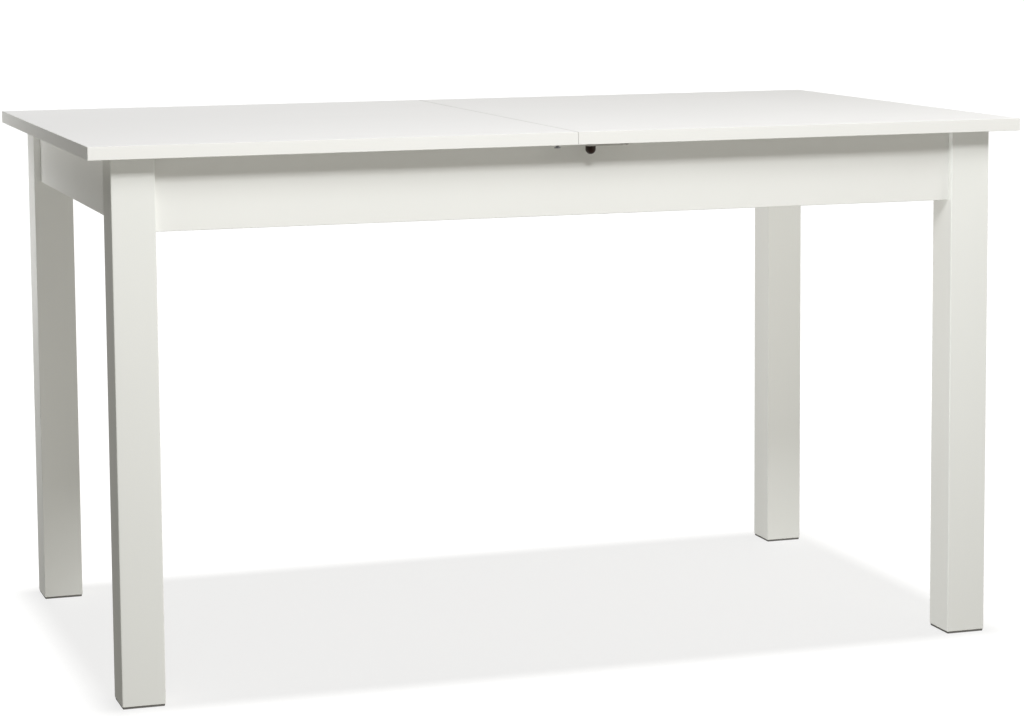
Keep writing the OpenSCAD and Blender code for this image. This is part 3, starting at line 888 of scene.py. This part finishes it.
def nut_part(half_width, bore, low, high):
    """Closed rows: along the face to the chamfer, up the hexagon, back along the other face, and
    down the bore. The cone lets the radius grow by the height over its slope."""
    turn = np.arange(36) * 2 * np.pi / 36
    hexagon = half_width / np.cos((turn + np.pi / 6) % (np.pi / 3) - np.pi / 6)
    even = np.ones(36)
    face = half_width * NUT_FACE * even
    rise = (hexagon - face) * NUT_CHAMFER_SLOPE
    reach = np.stack([bore * even, face, hexagon, hexagon, face, bore * even])
    bottom, top = low * even, high * even
    level = np.stack([bottom, bottom, low + rise, high - rise, top, top])
    grid = np.stack([reach * np.cos(turn), reach * np.sin(turn), level], axis=2)
    return skin(grid, join_rows=True)


def washer_part(radius, bore, low, high):
    """A flat ring with its outer edges eased."""
    profile = [
        (bore, low),
        (radius - WASHER_EASE, low),
        (radius, low + WASHER_EASE),
        (radius, high - WASHER_EASE),
        (radius - WASHER_EASE, high),
        (bore, high),
    ]
    return revolved(profile, 48, join=True)


nuts = solids("hanger_nuts")
fittings = []
for corner in ("fl", "fr", "rl", "rr"):
    leg_low, leg_high = (np.array(c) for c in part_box("leg_" + corner))
    inner = np.where((leg_low + leg_high)[:2] > 0, leg_low[:2], leg_high[:2])
    bolt, axis, middle = bolt_part(solids("hanger_bolt_" + corner)[0], inner)
    stand_in(make("made_hanger_bolt_" + corner, [bolt], ZINC), "hanger_bolt_" + corner)
    nearest = min(nuts, key=lambda points: np.linalg.norm(points.mean(axis=0) - middle))
    along = (nearest - middle) @ axis
    away = np.linalg.norm(nearest - middle - np.outer(along, axis), axis=1)
    seat, end = along.min(), along.max()
    half_width = away[along > end - NUT_END].max() * math.cos(math.pi / 6)
    washer = washer_part(away.max(), WASHER_BORE, seat, seat + WASHER_THICK)
    nut = nut_part(half_width, NUT_BORE, seat + WASHER_THICK, end)
    fittings += [placed(washer, middle, axis), placed(nut, middle, axis)]
stand_in(make("made_hanger_nuts", fittings, ZINC), "hanger_nuts")
print("bolts, nuts and washers made")

# %% [markdown]
# ### Knobs, buttons and glides
# The latch knobs are small brown domes, hollow round the head of the pivot. The nylon buttons on
# the legs are low discs with an eased rim. Each glide is a plastic square with rounded corners,
# dished underneath and held by a nail.

# %% Make knobs, buttons and glides
KNOB_LIP = 0.0005
HOLLOW = 0.0051
HOLLOW_DEEP = 0.0024
GLIDE_CORNER = 0.0015
GLIDE_EDGE = 0.0006
DISH_IN = 0.004
DISH_DEEP = 0.0008
BUTTON_RIM = 0.0007
NAIL_RADIUS = 0.0042
NAIL_LOW, NAIL_HIGH = 0.0002, 0.001
NAIL_EDGE = 0.0004


def arc(centre, radius, start, end, steps):
    """Points of a circle in the profile plane, between two angles in degrees."""
    turn = np.radians(np.linspace(start, end, steps))
    return [(centre[0] + radius * math.cos(t), centre[1] + radius * math.sin(t)) for t in turn]


def knob_part(points):
    """From the dome's pole up the side, over the lip, and down into the hollow."""
    low, high = corners_of(points)
    radius = (high - low)[0] / 2
    dome = arc((0, radius), radius, -90, 0, 14)
    tall = high[2] - low[2]
    lip = arc((radius - KNOB_LIP, tall - KNOB_LIP), KNOB_LIP, 0, 90, 4)
    hollow = [(HOLLOW, tall), (HOLLOW, tall - HOLLOW_DEEP), (0, tall - HOLLOW_DEEP)]
    centre = (low + high) / 2 * (1, 1, 0) + low * (0, 0, 1)
    return placed(revolved(dome + lip + hollow, 48), centre)


def button_part(points):
    low, high = corners_of(points)
    radius, tall = (high - low)[0] / 2, (high - low)[2]
    rim = arc((radius - BUTTON_RIM, tall - BUTTON_RIM), BUTTON_RIM, 0, 90, 5)
    centre = (low + high) / 2 * (1, 1, 0) + low * (0, 0, 1)
    return placed(revolved([(0, 0), (radius, 0)] + rim + [(0, tall)], 48), centre)


def glide_parts(name):
    """A block whose underside steps up to a shallow dish, and a nail head in the dish."""
    low, high = (np.array(corner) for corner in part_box(name))
    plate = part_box("leg_" + name[-2:])[0].z
    centre, outward = outline(low, high, GLIDE_CORNER, 6)
    sides = rings(centre, outward, GLIDE_CORNER, *edge_rounding(low[2], plate, GLIDE_EDGE))
    centre, outward = outline(low + DISH_IN, high - DISH_IN, GLIDE_CORNER, 6)
    slope = np.array([DISH_DEEP, 0.0])
    dish = rings(centre, outward, GLIDE_CORNER, slope, low[2] + slope)
    grid = np.concatenate([dish, sides])
    edge = arc((NAIL_RADIUS - NAIL_EDGE, NAIL_LOW + NAIL_EDGE), NAIL_EDGE, -90, 0, 4)
    head = [(0, NAIL_LOW)] + edge + [(NAIL_RADIUS, NAIL_HIGH), (0, NAIL_HIGH)]
    middle = (low + high) / 2 * (1, 1, 0) + low * (0, 0, 1)
    return [skin(grid, ends=True), placed(revolved(head, 24), middle)]


for name in ("latch_knob_front", "latch_knob_rear"):
    stand_in(make("made_" + name, [knob_part(solids(name)[0])], KNOB_BROWN), name)
buttons = make("made_slide_pads", [button_part(points) for points in solids("slide_pads")], NYLON)
stand_in(buttons, "slide_pads")
for corner in ("fl", "fr", "rl", "rr"):
    glide = make("made_glide_" + corner, glide_parts("glide_" + corner), GLIDE_GREY)
    stand_in(level_flats(glide), "glide_" + corner)
print("knobs, buttons and glides made")

# %% [markdown]
# ### Eased edges on sawn and pressed parts
# Rails, runners, brackets, angles, levers, pivots and strikes have pockets, tongues and hooks that
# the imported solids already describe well, but with edges like razors. A copy of each solid is
# merged, its flat triangles are joined, and a small bevel eases its edges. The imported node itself
# is never altered.

# %% Make the eased copies
SAME_PLANE = math.radians(1)
EDGE_FROM = math.radians(50)


def eased(name, finish, width, crease=35):
    points, triangles = packed_mesh(name)
    piece = make("made_" + name, [(points, triangles.tolist())], finish, crease)
    tidy = bmesh.new()
    tidy.from_mesh(piece.data)
    bmesh.ops.dissolve_limit(tidy, angle_limit=SAME_PLANE, verts=tidy.verts, edges=tidy.edges)
    tidy.to_mesh(piece.data)
    tidy.free()
    bevel = piece.modifiers.new("eased edges", "BEVEL")
    bevel.width = width
    bevel.segments = 2
    bevel.limit_method = "ANGLE"
    bevel.angle_limit = EDGE_FROM
    bevel.harden_normals = True
    return stand_in(piece, name)


# Node name: its finish and the width of its eased edges in metres
EASED = {
    "rail_front": (BEECH_X, 0.0008),
    "rail_rear": (BEECH_X, 0.0008),
    "bearer_angles": (ZINC, 0.0003),
    "latch_lever_front": (POWDER, 0.0003),
    "latch_lever_rear": (POWDER, 0.0003),
    "latch_pivot_front": (ZINC, 0.0002),
    "latch_pivot_rear": (ZINC, 0.0002),
    "strike_front": (ZINC, 0.0002),
    "strike_rear": (ZINC, 0.0002),
    "leaf_strikes": (ZINC, 0.0002),
}
EASED.update({"runner_" + corner: (BEECH_X, 0.0008) for corner in ("fl", "fr", "rl", "rr")})
EASED.update({"bracket_" + corner: (ZINC, 0.0004) for corner in ("fl", "fr", "rl", "rr")})
for name, (finish, width) in EASED.items():
    eased(name, finish, width)
print("eased copies:", len(EASED))

# %% [markdown]
# ## Light and floor
# The studio is a white floor, a pale surround and a few soft boxes. The white floor throws light
# up at the table, and the surround's lower half stands for that bounce, so that the floor itself
# can be set.

# %% Surround
BOUNCE = 0.48
BOUNCE_BACK = 0.10
WALL_RIGHT = 0.84
BOUNCE_IN_GLOSS = 0.25
BOUNCE_COLOUR = (1.0, 0.972, 0.89)


def make_surround():
    """Light by direction: a warm bounce below the horizon, a little stronger behind, and a pale
    wall on the right. Where the camera sees it, it is plain white."""
    world = bpy.data.worlds.new("surround")
    tree = Tree(world)
    x, y, z = tree.axes(tree.node("ShaderNodeTexCoord", output="Generated"))
    path = tree.node("ShaderNodeLightPath", output="Is Camera Ray")
    glossy = Wire(tree, path.socket.node.outputs["Is Glossy Ray"])
    below = tree.spread(-1 * z, -0.05, 0.05)
    behind = tree.spread(y, 0.0, 0.6)
    rightward = tree.spread(x, 0.0, 0.6)
    bounce = below * (BOUNCE + BOUNCE_BACK * behind)
    bounce = bounce * (1 - (1 - BOUNCE_IN_GLOSS) * glossy)
    light = bounce + WALL_RIGHT * ((1 - below) * rightward)
    background = tree.nodes["Background"]
    tree.put(background.inputs["Color"], tree.mix(path, BOUNCE_COLOUR, (1.0, 1.0, 1.0)))
    tree.put(background.inputs["Strength"], light * (1 - path) + path)
    bpy.context.scene.world = world


make_surround()
print("surround:", bpy.context.scene.world.name)

# %% [markdown]
# ### Soft boxes
# A small box in front draws the dark band under the overhang of the top, and wider ones fill in
# from the front, the right and behind. Only two of them show as reflections, because the others
# would wash out the top when it is seen from behind.

# %% Soft boxes
TABLE_MIDDLE = Vector((0.0, 0.0, 0.6))
# Turn and rise in degrees, distance and size in metres, watts
SOFT_BOXES = {
    "narrow_key": (-8, 35.8, 3.1, (0.45, 0.45), 36.5),
    "front_fill": (-15, 45, 2.8, (0.8, 0.8), 21.0),
    "right_fill": (60, 35, 2.6, (0.9, 0.9), 17.0),
    "back_left": (-145, 35, 2.6, (0.9, 0.9), 26.5),
    "rear_top": (180, 45, 1.8, (0.9, 0.6), 1.1),
}
SEEN_IN_GLOSS = ("front_fill", "right_fill")


def lamp(name, kind, place, aim):
    """A lamp at a place that shines towards aim and can't be seen itself."""
    data = bpy.data.lights.new(name, kind)
    light = bpy.data.objects.new(name, data)
    facing = (aim - place).to_track_quat("-Z", "Y").to_matrix().to_4x4()
    light.matrix_world = Matrix.Translation(place) @ facing
    light.visible_camera = False
    bpy.context.scene.collection.objects.link(light)
    return light


def soft_box(name, turn, rise, distance, size, watts):
    """A rectangle of light, turned from the front round the table and raised, in degrees."""
    turn, rise = math.radians(turn), math.radians(rise)
    level = Vector((math.sin(turn), -math.cos(turn), 0.0))
    towards = level * math.cos(rise) + Vector((0.0, 0.0, math.sin(rise)))
    light = lamp(name, "AREA", TABLE_MIDDLE + towards * distance, TABLE_MIDDLE)
    light.data.shape = "RECTANGLE"
    light.data.size, light.data.size_y = size
    light.data.energy = watts
    return light


boxes = [soft_box(name, *values) for name, values in SOFT_BOXES.items()]
for box in boxes:
    box.visible_glossy = box.name in SEEN_IN_GLOSS
print("soft boxes:", [box.name for box in boxes])

# %% [markdown]
# ### The floor and its lamp
# The floor is a glowing white sheet. A lamp straight overhead lights only the floor, where the
# table leaves a pale shadow, and the soft boxes light everything but the floor. Light linking is
# what lets one lamp serve one object.

# %% Floor and its own lamp
FLOOR_HALF = 60.0
FLOOR_WHITE = (0.25, 0.25, 0.248)
FLOOR_GLOW = 0.785
FLOOR_LAMP = 3.6
FLOOR_LAMP_ANGLE = 6.0
FLOOR_LAMP_HIGH = Vector((0.0, 0.0, 3.0))
FLOOR_MIDDLE = Vector((0.0, 0.0, 0.0))


def make_floor():
    """A level sheet on z = 0 with the glow that overlit studio paper has. It shows only from
    above, so that the table's underside can be looked at."""
    corners = [(x * FLOOR_HALF, y * FLOOR_HALF, 0.0) for x, y in ((-1, -1), (1, -1), (1, 1), (-1, 1))]
    mesh = bpy.data.meshes.new("floor")
    mesh.from_pydata(corners, [], [(0, 1, 2, 3)])
    floor = bpy.data.objects.new("floor", mesh)
    bpy.context.scene.collection.objects.link(floor)
    finish = Finish("studio_paper", Specular_IOR_Level=0.0, Emission_Strength=FLOOR_GLOW)
    finish.shader.inputs["Emission Color"].default_value = (1.0, 1.0, 1.0, 1.0)
    grain = finish.noise(finish.place(), 35.0, detail=3.0)
    finish.colour(finish.mix(grain, FLOOR_WHITE, shaded(FLOOR_WHITE, 0.01)))
    finish.roughness(0.75 + 0.1 * grain)
    paper = Wire(finish, finish.shader.outputs["BSDF"])
    nothing = finish.node("ShaderNodeBsdfTransparent")
    from_below = finish.node("ShaderNodeNewGeometry", output="Backfacing")
    one_sided = finish.node("ShaderNodeMixShader", {}, {0: from_below, 1: paper, 2: nothing})
    finish.links.new(one_sided.socket, finish.nodes["Material Output"].inputs["Surface"])
    floor.data.materials.append(finish.owner)
    floor.visible_diffuse = False
    floor.visible_glossy = False
    floor.visible_shadow = False
    return floor


def link_light(light, state, *objects):
    """Light linking: with INCLUDE the lamp lights these objects alone, with EXCLUDE all others."""
    chosen = bpy.data.collections.new(light.name + "_receivers")
    for number, receiver in enumerate(objects):
        chosen.objects.link(receiver)
        chosen.collection_objects[number].light_linking.link_state = state
    light.light_linking.receiver_collection = chosen


floor = make_floor()
floor_lamp = lamp("floor_lamp", "SUN", FLOOR_LAMP_HIGH, FLOOR_MIDDLE)
floor_lamp.data.energy = FLOOR_LAMP
floor_lamp.data.angle = math.radians(FLOOR_LAMP_ANGLE)
link_light(floor_lamp, "INCLUDE", floor)
for box in boxes:
    link_light(box, "EXCLUDE", floor)
print("floor:", floor.name, "lit by", floor_lamp.name)

# %% [markdown]
# ### Kickers
# Kickers are small lamps that lift one shaded side each, as white cards do in a studio: the left
# faces of the right legs, the rear left leg, the feet of the front legs, and the left end. The
# one for the left end is kept out of reflections, because the end is seen at a slant and would
# mirror it.

# %% Kickers for the shaded sides
KICKER_SIZE = 0.4
RIGHT_PLACE, RIGHT_AIM = (-0.5, -0.45, 0.42), (0.6, 0.0, 0.4)
# Place, aim, watts, and the pieces that the lamp lights
KICKERS = {
    "right_front": (RIGHT_PLACE, RIGHT_AIM, 4.2, ("made_leg_fr",)),
    "right_rear": (RIGHT_PLACE, RIGHT_AIM, 5.8, ("made_leg_rr",)),
    "far_left": ((-1.05, 0.78, 0.55), (-0.65, 0.3, 0.55), 1.5, ("made_leg_rl",)),
    "left_low": ((-1.3, -0.5, 0.45), (-0.62, 0.34, 0.4), 1.5, ("made_leg_rl",)),
    "low_front": ((0.0, -1.1, 0.15), (0.0, -0.37, 0.15), 0.6, ("made_leg_fl", "made_leg_fr")),
    "left_end": ((-1.05, 0.78, 0.55), (-0.65, 0.15, 0.7), 2.1, ("made_apron_left", "made_band_left")),
}
for name, (place, aim, watts, chosen) in KICKERS.items():
    kicker = lamp(name, "AREA", Vector(place), Vector(aim))
    kicker.data.size = KICKER_SIZE
    kicker.data.energy = watts
    kicker.visible_glossy = name != "left_end"
    link_light(kicker, "INCLUDE", *[bpy.data.objects[piece] for piece in chosen])
print("kickers:", list(KICKERS))

# %% [markdown]
# ## The end
# The pieces made here must fill the same box as the imported nodes, whose box is printed when they are
# loaded.

# %% The end
print("scene built")
